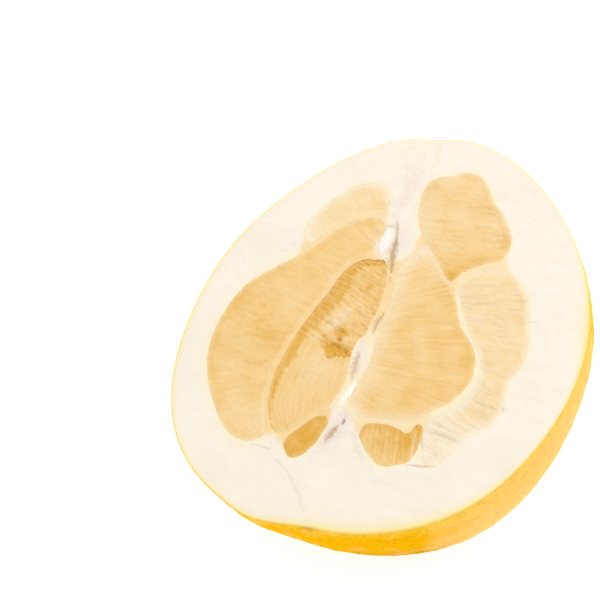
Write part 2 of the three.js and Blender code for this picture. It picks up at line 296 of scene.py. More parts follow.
# Colours, linear
RIND_GOLD = (0.77, 0.39, 0.001, 1)
RIND_PALE = (0.84, 0.56, 0.05, 1)
# Painted shade: the peel's gold darkened towards its underside
RIND_PAINTED_SHADE = (0.53, 0.27, 0.004, 1)
RIND_ORANGE = (0.84, 0.465, 0.07, 1)
RIND_GREEN = (0.65, 0.49, 0.04, 1)
RIND_INNER = (0.81, 0.69, 0.32, 1)
PORE_TINT = (0.66, 0.30, 0.005, 1)
FRECKLE_TINT = (0.50, 0.28, 0.02, 1)
SCAR_TINT = (0.30, 0.20, 0.08, 1)
PITH_WHITE = (0.81, 0.75, 0.66, 1)
PITH_CREAM = (0.78, 0.71, 0.60, 1)
PITH_BLUSH = (0.76, 0.66, 0.58, 1)
MEMBRANE = (0.81, 0.72, 0.50, 1)
MEMBRANE_GOLD = (0.80, 0.54, 0.22, 1)
PULP_PALE = (0.79, 0.62, 0.36, 1)
PULP_GOLD = (0.76, 0.51, 0.20, 1)
PULP_DEEP = (0.66, 0.35, 0.035, 1)
SAC_LINE = (0.60, 0.36, 0.13, 1)
SAC_GREY = (0.60, 0.46, 0.34, 1)
SAC_FILM = (0.79, 0.70, 0.54, 1)
FLOOR_WHITE = (0.97, 0.97, 0.97, 1)

# Where the peel turns greener, more orange, darker with painted shade and paler: the first two in
# metres, the greener one towards the stem end and the other along a direction, the last two in
# degrees below the cut
PEEL_GREEN = (-0.035, 0.008)
PEEL_ORANGE = (0.058, 0.072)
PEEL_ORANGE_TOWARDS = (0.82, -0.57)
PEEL_PAINTED_SHADE = (11, 25)
PEEL_PALE = (0, 6)

# The studio, in metres
FLOOR_REACH = 4.0
FLOOR_DROP = 0.0002
FLOOR_GLOW = 0.45
WORLD_STRENGTH = 1.05
KEY_LIGHT = {"place": (0.35, 0.45, 0.9), "size": 0.5, "power": 2.6, "colour": (1.0, 0.99, 0.97)}


# Curves and uneven fields

def smooth_curve(points, count):
    """A smooth curve through the points, as count + 1 points spaced evenly along it."""
    path = np.array(points, float)
    path = np.vstack([2 * path[0] - path[1], path, 2 * path[-1] - path[-2]])
    gaps = np.sqrt(np.linalg.norm(np.diff(path, axis=0), axis=1))
    share = np.linspace(0, 1, 24, endpoint=False)[:, None]
    dense = []
    for i in range(1, len(path) - 2):
        before, start, end, after = path[i - 1:i + 3]
        g0, g1, g2 = gaps[i - 1:i + 2]
        leave = g1 * ((start - before) / g0 - (end - before) / (g0 + g1) + (end - start) / g1)
        arrive = g1 * ((end - start) / g1 - (after - start) / (g1 + g2) + (after - end) / g2)
        cubic = 2 * (start - end) + leave + arrive
        square = 3 * (end - start) - 2 * leave - arrive
        dense.append(start + leave * share + square * share**2 + cubic * share**3)
    dense = np.vstack([*dense, path[-2]])
    along = np.concatenate([[0], np.cumsum(np.linalg.norm(np.diff(dense, axis=0), axis=1))])
    wanted = np.linspace(0, along[-1], count + 1)
    return np.column_stack([np.interp(wanted, along, dense[:, axis]) for axis in range(dense.shape[1])])


def path_length(points):
    return np.linalg.norm(np.diff(np.array(points, float), axis=0), axis=1).sum()


def ripple(coords, size, seed, terms=26):
    """A smooth uneven field of about unit height, with swells about size across."""
    rng = np.random.default_rng(seed)
    total = np.zeros(len(coords))
    for _ in range(terms):
        direction = rng.normal(size=coords.shape[1])
        direction /= np.linalg.norm(direction)
        pitch = 2 * math.pi / size * rng.uniform(0.55, 1.6)
        total += np.sin(pitch * (coords @ direction) + rng.uniform(0, 2 * math.pi))
    return total / math.sqrt(terms / 2)


def sac_cells(along, across, seed):
    """Staggered cells of about one unit: each point's distance from its cell's edge, and two tones."""
    count = 61
    rng = np.random.default_rng(seed)
    place = rng.uniform(0.1, 0.9, (count, count, 2))
    tones = rng.uniform(-0.5, 0.5, (count, count, 2))
    column = np.floor(along).astype(int)
    row = np.floor(across).astype(int)
    nearest = np.full(len(along), np.inf)
    second = np.full(len(along), np.inf)
    tone = np.zeros((len(along), 2))
    for i in (-1, 0, 1):
        for j in (-1, 0, 1):
            cell = ((column + i) % count, (row + j) % count)
            reach_along = column + i + place[cell][:, 0] - along
            reach_across = row + j + place[cell][:, 1] - across
            distance = np.hypot(reach_along, reach_across)
            closer = distance < nearest
            second = np.where(closer, nearest, np.minimum(second, distance))
            tone[closer] = tones[cell][closer]
            nearest = np.minimum(nearest, distance)
    return second - nearest, tone


def ripples(coords, listed):
    return sum(height * ripple(coords, size, seed) for height, size, seed in listed)


def cut_swell(flat):
    """How far the cut swells up and down, over the pith and the pulp alike."""
    return ripples(flat, CUT_SWELLS)


def smoothstep(low, high, value):
    share = np.clip((value - low) / (high - low), 0, 1)
    return share * share * (3 - 2 * share)


def hump(value, middle, spread):
    """A smooth hump of unit height round the middle."""
    return np.exp(-((value - middle) / spread)**2)


def arcs(around, listed):
    """The height of smooth humps, each on an arc of the fruit's round."""
    return sum(
        height * near(np.sin((around - math.radians(at)) / 2), spread) for at, height, spread in listed
    )


def near(distance, reach):
    """1 at no distance, fading out over about this reach."""
    return hump(distance, 0, reach)


def spot(points, at, radius):
    """A round hump of unit height, with a ragged edge."""
    distance = np.linalg.norm(points - np.array(at), axis=1)
    return near(distance * (1 + 0.2 * ripple(points, 3.2, 51)), radius)


def nearest_distance(points, targets, chunk=4000):
    best = np.empty(len(points))
    for first in range(0, len(points), chunk):
        gaps = points[first:first + chunk, None, :] - targets[None, :, :]
        best[first:first + chunk] = np.sqrt((gaps**2).sum(axis=2).min(axis=1))
    return best


def distance_to_path(points, path):
    """Each point's distance to a path, and how far along the path its nearest place is, 0 to 1."""
    path = np.array(path, float)
    best = np.full(len(points), np.inf)
    share = np.zeros(len(points))
    total = path_length(path)
    before = 0.0
    for start, end in zip(path, path[1:]):
        step = end - start
        length = np.linalg.norm(step)
        place = np.clip((points - start) @ step / length**2, 0, 1)
        distance = np.linalg.norm(points - start - place[:, None] * step, axis=1)
        closer = distance < best
        share[closer] = (before + place[closer] * length) / total
        best = np.minimum(best, distance)
        before += length
    return best, share


def inside(points, outline):
    """Which points lie inside a closed outline."""
    result = np.zeros(len(points), bool)
    for (x0, y0), (x1, y1) in zip(outline, np.roll(outline, -1, axis=0)):
        crosses = (y0 > points[:, 1]) != (y1 > points[:, 1])
        if crosses.any():
            reach = (x1 - x0) * (points[:, 1] - y0) / (y1 - y0) + x0
            result ^= crosses & (points[:, 0] < reach)
    return result


# Bodies made of points and sheets of faces

class Body:
    """Points in the frame of the cut, faces over them, and fields with a value for each point."""

    def __init__(self):
        self.points = np.zeros((0, 3))
        self.faces = []
        self.fields = {}

    def add(self, points):
        first = len(self.points)
        self.points = np.vstack([self.points, points])
        return np.arange(first, len(self.points))

    def sheet(self, grid, flip=False):
        """Faces over a grid of point numbers. A number that repeats in a corner makes a triangle."""
        corners = np.stack([grid[:-1, :-1], grid[1:, :-1], grid[1:, 1:], grid[:-1, 1:]], axis=-1)
        for quad in corners.reshape(-1, 4).tolist():
            face = list(dict.fromkeys(quad))
            if len(face) > 2:
                self.faces.append(face[::-1] if flip else face)

    def sheet_around(self, rows, flip=False):
        """Faces over rows of point numbers that run all the way round."""
        grid = np.array(rows)
        self.sheet(np.column_stack([grid, grid[:, :1]]), flip)

    def sheet_between(self, edge_left, edge_right, inner, flip=False):
        """A sheet between two edges given as point numbers, which meet at both ends."""
        stations, columns = inner.shape[:2]
        grid = np.empty((stations, columns + 2), int)
        grid[:, 0] = edge_left
        grid[:, -1] = edge_right
        grid[1:-1, 1:-1] = self.add(inner[1:-1].reshape(-1, 3)).reshape(stations - 2, columns)
        grid[0] = edge_left[0]
        grid[-1] = edge_left[-1]
        self.sheet(grid, flip)


# The dome, its place and the layers

def outline_lobes(around):
    """How far the cut's outline lies outside a circle."""
    lobes = arcs(around, RIM_SWELLS)
    for count, height, peak in OUTLINE_WAVES:
        lobes = lobes + height * np.cos(count * (around - math.radians(peak)))
    return lobes


def scar_distance(around, down, scar):
    towards = np.cos(down) * np.cos(around - math.radians(scar["angle"]))
    return CUT_RADIUS * np.arccos(np.clip(towards, -1, 1))


def scar_depth(around, down):
    return sum(
        scar["depth"] * near(scar_distance(around, down, scar), scar["spread"])
        for scar in (STEM_SCAR, BLOSSOM_SCAR)
    )


def peel_share(around, inset):
    """How much of the peel's yellow is left this far into the cut, in millimetres."""
    return np.exp(-inset / (PEEL_REACH + arcs(around, PEEL_REACHES)))


def slimming(around, down):
    """How far the dome stays inside its round form, under the cut."""
    return arcs(around, DOME_SLIMS) * smoothstep(0, SLIM_FULL_AT, down)


def deepest_point(body, inset):
    """The dome's deepest point, as a row of point numbers that are all the same."""
    return np.repeat(body.add(dome_ring(math.pi / 2, inset)[:1]), DOME_SIDES)


def inner_rows(body, inset):
    """Rows of point numbers from the cut down the inner side of a layer."""
    downs = np.linspace(0, math.pi / 2, INNER_RINGS + 1)[1:-1]
    return [*(body.add(dome_ring(down, inset)) for down in downs), deepest_point(body, inset)]


def dome_ring(down, inset, lift=0.0):
    """A ring of the dome, set in by inset, at the angle down from the cut."""
    around = np.linspace(0, 2 * math.pi, DOME_SIDES, endpoint=False)
    cos_down = math.cos(down)
    level = CUT_RADIUS + outline_lobes(around) * cos_down - scar_depth(around, down)
    radius = (level - slimming(around, down) - inset) * cos_down
    drift = OVERHANG["reach"] * math.sin(down)
    u = radius * np.cos(around) + drift * math.cos(OVERHANG["towards"])
    v = radius * np.sin(around) + drift * math.sin(OVERHANG["towards"])
    w = np.full(DOME_SIDES, -(DOME_DEPTH - inset) * math.sin(down) + lift)
    return np.column_stack([u, v, w])


TIP = np.array([
    [math.cos(CUT_TILT), 0, math.sin(CUT_TILT)],
    [0, 1, 0],
    [-math.sin(CUT_TILT), 0, math.cos(CUT_TILT)],
])
outer_dome = np.vstack([dome_ring(down, 0) for down in np.linspace(0, math.pi / 2, 91)]) @ TIP
rind_low, rind_high = (np.array(corner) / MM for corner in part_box("rind"))
set_down = (rind_low + rind_high) / 2 - (outer_dome.min(axis=0) + outer_dome.max(axis=0)) / 2
set_down[2] = -(outer_dome[:, 2].min() + RESTING_FLAT_DEPTH)


def to_world(points, floor=0.0):
    """Points of the cut's frame in metres as the half lies, pressed flat at the floor's height."""
    placed = points @ TIP + set_down
    placed[:, 2] = np.maximum(placed[:, 2], floor)
    return placed * MM


def add_object(name, data):
    made = bpy.data.objects.new(name, data)
    bpy.context.scene.collection.objects.link(made)
    return made


def make_piece(name, body, material, node, floor=0.0):
    mesh = bpy.data.meshes.new(name)
    mesh.from_pydata(to_world(body.points, floor).tolist(), [], body.faces)
    mesh.update()
    mesh.shade_smooth()
    mesh.set_sharp_from_angle(angle=SHARP_FOLD)
    kinds = {1: ("FLOAT", "value"), 3: ("FLOAT_VECTOR", "vector"), 4: ("FLOAT_COLOR", "color")}
    for field, values in body.fields.items():
        kind, key = kinds[values[0].size]
        attribute = mesh.attributes.new(field, kind, "POINT")
        attribute.data.foreach_set(key, values.astype(np.float32).ravel())
    mesh.materials.append(material)
    piece = add_object(name, mesh)
    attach(piece, "root")
    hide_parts(node)


# Segments

def segment_sides(segment, grow=0.0):
    """A segment's two sides as matching points, moved outwards by grow, left one first.

    The last value says whether the left side is the one towards the core.
    """
    paths = [[segment["stem"], *segment[side], segment["blossom"]] for side in ("core", "rind")]
    stations = int(np.mean([path_length(path) for path in paths]) / STATION_SPACING)
    core, rind = (smooth_curve(path, stations) for path in paths)
    outline = np.vstack([core, rind[-2:0:-1]])
    before, after = np.roll(outline, 1, axis=0), np.roll(outline, -1, axis=0)
    turn = np.sign(np.sum(before[:, 0] * after[:, 1] - before[:, 1] * after[:, 0]))
    direction = after - before
    direction /= np.linalg.norm(direction, axis=1)[:, None]
    outward = turn * np.column_stack([direction[:, 1], -direction[:, 0]])
    share = np.linspace(0, 1, stations + 1)
    side = smoothstep(0, 0.08, np.minimum(share, 1 - share))
    core_grow, rind_grow = (sum(segment["grow"]) / 2 * (1 - side) + own * side for own in segment["grow"])
    reach = ripples(outline, SIDE_WOBBLES) + grow + np.concatenate([core_grow, rind_grow[-2:0:-1]])
    outline = outline + outward * reach[:, None]
    core = outline[:stations + 1]
    rind = np.vstack([outline[:1], outline[:stations:-1], outline[stations:stations + 1]])
    slanted = share + segment["slant"] * share * (1 - share)
    rind = np.column_stack([np.interp(slanted, share, rind[:, axis]) for axis in (0, 1)])
    return (core, rind, True) if turn > 0 else (rind, core, False)


def ladder(left, right, shares, heights):
    """Rows of points between two sides, with a row of heights for each station."""
    spans = left[:, None, :] + (right - left)[:, None, :] * np.array(shares)[None, :, None]
    return np.concatenate([spans, heights[:, :, None]], axis=2)


def underside(segment, left, right, gap=0.0):
    """The rounded underside of a segment or, with a gap, the wall of its pocket."""
    station = np.linspace(0, 1, len(left))
    fullness = np.sqrt(np.sin(math.pi * np.clip(station, 0.001, 0.999)))
    deepest = -segment["depth"] * fullness - gap
    return ladder(left, right, WALL_SHARES, deepest[:, None] * WALL_DEPTHS[None, :])


class PulpTop:
    """The cut top of a segment: its points, their height, and the fields that give it its look.

    gold is the tone. lines, grey and film say how strongly the pulp shows fine darker lines, grey
    ones and a whitish film. grain runs along the segment and, much slower, along the sacs.
    """

    def __init__(self, segment, left, right, core_first):
        stations = len(left) - 1
        widths = np.linalg.norm(right - left, axis=1)
        columns = max(round(widths.max() / COLUMN_SPACING), 8)
        shares = np.arange(1, columns) / columns
        self.grid = ladder(left, right, shares, np.zeros((stations + 1, columns - 1)))
        self.flat = self.grid[..., :2].reshape(-1, 2)
        steps = np.linalg.norm(np.diff((left + right) / 2, axis=0), axis=1)
        self.along = np.repeat(np.concatenate([[0], np.cumsum(steps)]), columns - 1)
        self.station = np.repeat(np.linspace(0, 1, stations + 1), columns - 1)
        self.across = (widths[:, None] * shares[None, :]).ravel()
        core, rind = (left, right) if core_first else (right, left)
        self.core_gap = np.maximum(nearest_distance(self.flat, core) - TUCK, 0)
        self.rind_gap = np.maximum(nearest_distance(self.flat, rind) - TUCK, 0)
        self.rim_gap = np.minimum(self.core_gap, self.rind_gap)
        count = len(self.flat)
        self.height = cut_swell(self.flat)
        self.plain_gold = segment["gold"]
        self.gold = np.full(count, segment["gold"])
        self.lines = np.full(count, segment["lines"])
        self.grey = np.zeros(count)
        self.film = np.zeros(count)

    def add_sacs(self, segment, seed):
        """Staggered juice sacs, each a little higher or lower and paler or deeper than the next."""
        width, length = segment["sac"]
        bend = 0.3 * ripple(self.flat, 24.0, seed)
        edge, tone = sac_cells((self.along + bend) / width, self.across / length, seed)
        groove = near(edge, 0.16)
        fine = ripple(np.column_stack([self.along + bend, 0.05 * self.across]), 2.4, seed + 1)
        self.height += segment["relief"] * (0.6 * tone[:, 0] - 0.8 * groove + 0.25 * fine)
        self.gold += 0.08 * tone[:, 1] + 0.05 * ripple(self.flat, 14.0, seed + 2) + 0.05 * groove
        own = np.full(len(bend), 7.0 * seed)
        self.grain = np.column_stack([self.along + bend, 0.06 * self.across, own])

    def round_edges(self):
        """A slightly deeper line inside the rim, and a paler, sunken lip on it."""
        self.gold += 0.05 * hump(self.rim_gap, 2.0, 1.0) - 0.12 * self.by_rim(1.1)
        self.film += 0.08 * self.by_rim(1.0)
        self.height -= 0.1 * self.by_rim(0.8)

    def by_rind(self, reach):
        return near(self.rind_gap, reach)

    def by_core(self, reach):
        return near(self.core_gap, reach)

    def by_rim(self, reach):
        return near(self.rim_gap, reach)

    def spot(self, at, radius):
        return spot(self.flat, at, radius)

    def round_station(self, share, spread):
        """1 this share of the way from the stem end to the blossom end, fading out both ways."""
        return hump(self.station, share, spread)

    def past(self, low, high):
        """Rises from 0 to 1 between two shares of that way."""
        return smoothstep(low, high, self.station)

    def dip(self, at, radius, depth, gold):
        hollow = self.spot(at, radius)
        self.height -= depth * hollow
        self.gold += gold * hollow
        self.film *= 1 - 0.9 * hollow


def look_left(top):
    """Even gold, a little deeper in two places and paler to the blossom end."""
    top.gold += 0.05 * top.by_rind(3.0) - 0.22 * top.past(0.72, 1.0)
    top.gold += 0.2 * top.spot((-52.0, 13.0), 7.5) + 0.2 * top.spot((-40.0, -2.0), 8.0)
    top.film += 0.35 * top.spot((-3.0, 39.5), 4.5)


def look_upper_left(top):
    """Under a film that covers its rind side and its blossom end."""
    top.film += 0.75 * top.by_rind(2.2) + 0.5 * top.past(0.6, 1.0)


def look_torn(top):
    """Sacs across the upper half, strands along the lower half, a deep gold band partly of painted shade,
    torn scraps, and painted shadow along the core edge.
    """
    lower = top.past(TORN_TURN - 0.05, TORN_TURN + 0.05)
    band_width = np.interp(top.station, TORN_BAND["station"], TORN_BAND["width"])
    teeth = 0.5 * ripple(np.column_stack([top.along, 0.2 * top.across]), 1.8, 61)
    band = 1 - smoothstep(-0.4, 0.6, top.rind_gap - band_width + teeth)
    strands = ripple(np.column_stack([top.across, 0.12 * top.along]), 1.7, 62)
    top.height += lower * (0.1 * strands - 0.85 * top.height)
    top.height -= 0.4 * band * (1 - lower)
    top.gold -= 0.8 * lower * (top.gold - top.plain_gold)
    # The band's deeper gold is partly the pulp's own and partly painted shade on the sunken rind side
    top.gold += 0.06 * (1 - lower) + lower * (0.05 * strands - 0.04) + (0.3 + 0.1 * lower) * band
    top.gold += 0.1 * top.by_rind(9.0)
    # Painted shadow of the pith's overhang: deeper gold along the core edge of the upper half
    top.gold += 0.25 * top.by_core(1.4) * (1 - lower)
    top.lines *= 1 - 0.5 * lower
    turned = np.column_stack([1.2 * top.across, 0.06 * top.along, top.grain[:, 2] + 3])
    top.grain = np.where(lower[:, None] > 0.5, turned, top.grain)
    for at, radius in TORN_SCRAPS:
        scrap = top.spot(at, radius)
        top.film += 0.42 * scrap * (1 - 0.5 * lower)
        top.height += 0.25 * scrap * (1 - lower)
    for hollow in TORN_HOLLOWS:
        top.dip(*hollow)


def look_right(top):
    """Deeper gold to the rind and pale to the stem end and the core, with film along its sides."""
    top.gold += 0.1 * top.by_rind(8.0) - 0.14 * top.past(0.8, 1.0)
    top.gold -= 0.35 * top.round_station(0, 0.25)
    top.gold -= 0.25 * top.by_core(4.5)
    top.film += 0.15 * top.round_station(0, 0.14) + 0.3 * top.by_core(4.5)
    top.film += 0.4 * top.by_rind(3.0) * top.past(0.72, 0.86)
    top.film += 0.45 * top.by_rind(4.0) * top.round_station(0.24, 0.13)


def look_top_right(top):
    """Deepest gold at its blossom end, with a faint film over its middle and bright specks."""
    top.gold += 0.32 * top.past(0.8, 1.0) + 0.25 * top.spot((15.5, 60.5), 3.5)
    top.gold += 0.16 * top.by_rind(5.0) * top.past(0.3, 0.5)
    top.film += 0.16 * top.round_station(0.4, 0.3)
    top.film += 0.25 * top.by_core(5.0) * (1 - top.past(0.55, 0.8))
    for at, radius in TOP_RIGHT_SPECKS:
        top.film += 0.4 * top.spot(at, radius)


def look_outer_right(top):
    """Very pale, with groups of grey lines and a whitish film that hides its lower end."""
    groups = 0.5 * smoothstep(0, 1.0, ripple(top.flat, 10.0, 63))
    for place, spread in ((0.2, 0.07), (0.62, 0.05), (0.86, 0.12)):
        groups = np.maximum(groups, top.round_station(place, spread))
    top.grey += 0.55 * groups * smoothstep(0.6, 2.5, top.rind_gap)
    top.film += 0.2 * smoothstep(0.2, 1.2, ripple(top.flat, 7.0, 64))
    top.film += 0.7 * top.past(0.6, 0.84) + 0.4 * top.by_rim(1.8)
    top.film += 0.45 * top.by_core(4.0) * top.round_station(0.62, 0.14)


def look_bottom(top):
    """Deep gold by the core and in its tail, which a sunken whitish streak sets off."""
    streak = near(distance_to_path(top.flat, [(15.2, -42.0), (14.6, -48.5)])[0], 0.5)
    top.gold += 0.3 * top.by_core(1.6) - 0.25 * top.by_rind(4.0)
    top.gold += 0.3 * top.spot((13.4, -43.5), 2.6) + 0.4 * hump(top.flat[:, 0], 16.6, 0.9)
    top.film += 0.45 * streak
    top.height -= 0.3 * streak


def look_small(top):
    """Deepest gold of all, most of all by the core."""
    top.gold += 0.25 * top.by_core(1.5)


LOOKS = {
    "segment_left": look_left,
    "segment_upper_left": look_upper_left,
    "segment_torn": look_torn,
    "segment_right": look_right,
    "segment_top_right": look_top_right,
    "segment_outer_right": look_outer_right,
    "segment_bottom": look_bottom,
    "segment_small": look_small,
}


def make_segment(segment, seed, material):
    left, right, core_first = segment_sides(segment, TUCK)
    top = PulpTop(segment, left, right, core_first)
    top.add_sacs(segment, seed)
    LOOKS[segment["name"]](top)
    top.round_edges()
    top.grid[..., 2] = top.height.reshape(top.grid.shape[:2])

    body = Body()
    stations = len(left) - 1
    edge_left = body.add(np.column_stack([left, cut_swell(left) - EDGE_DROP]))
    edge_right = edge_left.copy()
    edge_right[1:-1] = body.add(np.column_stack([right, cut_swell(right) - EDGE_DROP])[1:-1])
    body.sheet_between(edge_left, edge_right, top.grid)
    body.sheet_between(edge_left, edge_right, underside(segment, left, right), flip=True)

    columns = top.grid.shape[1]
    on_top = slice(columns, columns * stations)
    below = len(body.points) - 2 * stations - columns * (stations - 1)
    plain = {"gold": segment["gold"], "lines": 0.0, "grey": 0.0, "film": 0.0}
    for field, value in plain.items():
        values = np.clip(getattr(top, field)[on_top], 0, 1)
        body.fields[field] = np.concatenate([np.full(2 * stations, value), values, np.full(below, value)])
    edge_grain = np.zeros((2 * stations, 3))
    edge_grain[:stations + 1] = top.grain.reshape(stations + 1, columns, 3)[:, 0]
    edge_grain[stations + 1:] = top.grain.reshape(stations + 1, columns, 3)[1:-1, -1]
    body.fields["grain"] = np.vstack([edge_grain, top.grain[on_top], np.zeros((below, 3))])
    make_piece(segment["name"] + "_pulp", body, material, segment["name"])


# The pith, with its pockets

def lens_share(points):
    """1 in the middle of the white lens beside the core, 0 at its edge and beyond."""
    lean = CORE_LENS["lean"]
    offset = points - np.array(CORE_LENS["at"])
    across = offset[:, 0] * math.cos(lean) + offset[:, 1] * math.sin(lean)
    along = -offset[:, 0] * math.sin(lean) + offset[:, 1] * math.cos(lean)
    reach = (across / CORE_LENS["half_width"])**2 + (along / CORE_LENS["half_length"])**2
    return np.clip(1 - reach, 0, 1)


def near_marks(points, margin):
    near = lens_share(points) > 0
    for path, width, *_ in MARKS:
        near |= distance_to_path(points, path)[0] < width + margin
    return near


def scattered(spacing, rng):
    reach = 1.12 * CUT_RADIUS
    columns, rows = np.meshgrid(np.arange(-reach, reach, spacing), np.arange(-reach, reach, 0.87 * spacing))
    columns[::2] += spacing / 2
    grid = np.column_stack([columns.ravel(), rows.ravel()])
    return grid + rng.uniform(-0.22, 0.22, grid.shape) * spacing


def on_face(points, rim, pockets):
    """Which points lie inside the rim and outside every pocket."""
    keep = inside(points, rim)
    for pocket in pockets:
        keep &= ~inside(points, pocket)
    return keep


def face_points(rim, pockets):
    """Points spread over the pith's cut face, closer together at its marks."""
    rng = np.random.default_rng(FACE_SEED)
    coarse, fine = scattered(FACE_SPACING, rng), scattered(MARK_SPACING, rng)
    points = np.vstack([coarse[~near_marks(coarse, 1.1)], fine[near_marks(fine, 0.9)]])
    points = points[on_face(points, rim, pockets)]
    return points[nearest_distance(points, np.vstack([rim, *pockets])) > 0.3]


def triangulate_face(rim, pockets):
    """The cut face with its pockets left out: points, triangles, and the point number of each source."""
    loops = [rim, *pockets]
    edges = []
    first = 0
    for loop in loops:
        edges += [(first + i, first + (i + 1) % len(loop)) for i in range(len(loop))]
        first += len(loop)
    sources = np.vstack([*loops, face_points(rim, pockets)])
    found, _, triangles, origins, _, _ = delaunay_2d_cdt(
        [Vector(point) for point in sources.tolist()], edges, [], 0, 1e-6, True)
    flat = np.array([tuple(point) for point in found])
    triangles = np.array([list(triangle) for triangle in triangles])
    keep = on_face(flat[triangles].mean(axis=1), rim, pockets)
    number_of = np.empty(len(sources), int)
    for number, listed in enumerate(origins):
        number_of[listed] = number
    return flat, triangles[keep], number_of


def face_look(flat, rim, pockets):
    """The height of the pith's cut face, and its fields."""
    gaps = np.array([nearest_distance(flat, pocket) for pocket in pockets])
    pulp_gap = gaps.min(axis=0)
    rim_gap = nearest_distance(flat, rim)
    lens = lens_share(flat)
    height = cut_swell(flat)
    height += 0.06 * hump(pulp_gap, 1.4, 0.9) - 0.1 * near(pulp_gap, 0.6)
    height = height * smoothstep(0.2, 1.5, rim_gap) - 0.02
    height += CORE_LENS["height"] * lens**0.7

    # Colours of the marks, among them painted shade in the cracks and the notch
    stain = np.zeros((len(flat), 4))
    stain[:, :3] = SOFT_GREY
    ragged = np.clip(1 + 0.3 * ripple(flat, 1.7, 31), 0.5, 1.5)
    for path, width, depth, strength, colour in MARKS:
        distance, share = distance_to_path(flat, path)
        taper = 0.35 + 0.65 * np.sin(math.pi * np.clip(share, 0.02, 0.98))
        cover = near(distance, width * taper * ragged)
        height -= depth * cover * taper
        stronger = strength * cover > stain[:, 3]
        stain[stronger, :3] = colour
        stain[:, 3] = np.maximum(stain[:, 3], strength * cover)
    on_lens = lens > 0.02
    stain[on_lens, :3] = BRIGHT_WHITE
    stain[on_lens, 3] = 0.7 * smoothstep(0.05, 0.6, lens[on_lens])

    gap_to = {segment["name"]: gap for segment, gap in zip(SEGMENTS, gaps)}
    film = np.maximum(near(pulp_gap, 1.1), 0.6 * near(gap_to["segment_left"], 3.5))
    film = np.maximum(film, 1 - smoothstep(2.5, 5.5, np.sort(gaps, axis=0)[:2].sum(axis=0)))
    golden = np.zeros(len(flat))
    for first, second, width, tone, bottom in WALLS:
        wall = 1 - smoothstep(width, width + WALL_FADE, gap_to[first] + gap_to[second])
        film = np.maximum(film, wall)
        upper = smoothstep(bottom - 4, bottom + 4, flat[:, 1])
        golden = np.maximum(golden, wall * tone * (0.35 + 0.65 * upper))
    around = np.arctan2(flat[:, 1], flat[:, 0])
    fields = {
        "film": film * (1 - smoothstep(0, 0.2, lens)),
        "golden": golden * (1 - smoothstep(0, 0.2, lens)),
        "blush": near(distance_to_path(flat, CORE_PATH)[0], 8.0),
        "rim": np.clip(2 * peel_share(around, rim_gap + RIND_THICKNESS), 0, 1),
        "stain": stain,
    }
    return height, fields


def make_pith(material):
    rim = dome_ring(0, RIND_THICKNESS - RIM_TUCK)[:, :2]
    sides = [segment_sides(segment)[:2] for segment in SEGMENTS]
    pockets = [np.vstack([left, right[-2:0:-1]]) for left, right in sides]
    flat, triangles, number_of = triangulate_face(rim, pockets)
    height, fields = face_look(flat, rim, pockets)
    body = Body()
    body.add(np.column_stack([flat, height]))
    body.faces += triangles.tolist()

    # The outside of the pith, under the rind
    inset = RIND_THICKNESS + LAYER_GAP
    body.sheet_around([number_of[:DOME_SIDES], *inner_rows(body, inset)])

    # The pockets, a little deeper than the segments in them
    first = DOME_SIDES
    for segment, (left, right) in zip(SEGMENTS, sides):
        stations = len(left) - 1
        edge_left = number_of[first:first + stations + 1]
        edge_right = edge_left.copy()
        edge_right[1:-1] = number_of[first + stations + 1:first + 2 * stations][::-1]
        body.sheet_between(edge_left, edge_right, underside(segment, left, right, LAYER_GAP))
        first += 2 * stations

    hidden = len(body.points) - len(flat)
    for field, values in fields.items():
        body.fields[field] = np.concatenate([values, np.zeros((hidden, *values.shape[1:]))])
    make_piece("pith_body", body, material, "pith", floor=inset)


# The rind

def make_rind(material):
    body = Body()
    rows = [deepest_point(body, 0)]
    peel = [np.zeros(1)]
    for down in np.linspace(math.pi / 2, LAST_RING, DOME_RINGS)[1:]:
        ring = dome_ring(down, 0)
        outward = ring / np.linalg.norm(ring, axis=1)[:, None]
        swell = ripples(ring, SKIN_SWELLS) * smoothstep(0.0, 0.06, down)
        rows.append(body.add(ring + outward * swell[:, None]))
        peel.append(np.zeros(DOME_SIDES))

    angles = np.linspace(0, 2 * math.pi, DOME_SIDES, endpoint=False)
    for inset, lift in CUT_EDGE:
        rows.append(body.add(dome_ring(0, inset, lift)))
        peel.append(1 - peel_share(angles, inset))
    outside = len(body.points)
    rows += inner_rows(body, RIND_THICKNESS)
    peel.append(np.ones(len(body.points) - outside))
    body.sheet_around(rows, flip=True)

    around = np.arctan2(body.points[:, 1], body.points[:, 0])
    level = np.hypot(body.points[:, 0], body.points[:, 1])
    down = np.arctan2(-body.points[:, 2], level)
    stem_scar = np.exp(-(scar_distance(around, down, STEM_SCAR) / 4.0)**4)
    blossom_scar = near(scar_distance(around, down, BLOSSOM_SCAR), 2.5)
    body.fields["peel"] = np.concatenate(peel)
    body.fields["below"] = np.degrees(down)
    body.fields["scar"] = np.maximum(stem_scar, 0.6 * blossom_scar)

    # The inside of the shell stays a rind's thickness above the resting flat
    placed = body.points[outside:] @ TIP + set_down
    lift = np.maximum(RIND_THICKNESS - placed[:, 2], 0)
    body.points[outside:] += lift[:, None] * TIP[:, 2]
    make_piece("rind_skin", body, material, "rind")


# Materials

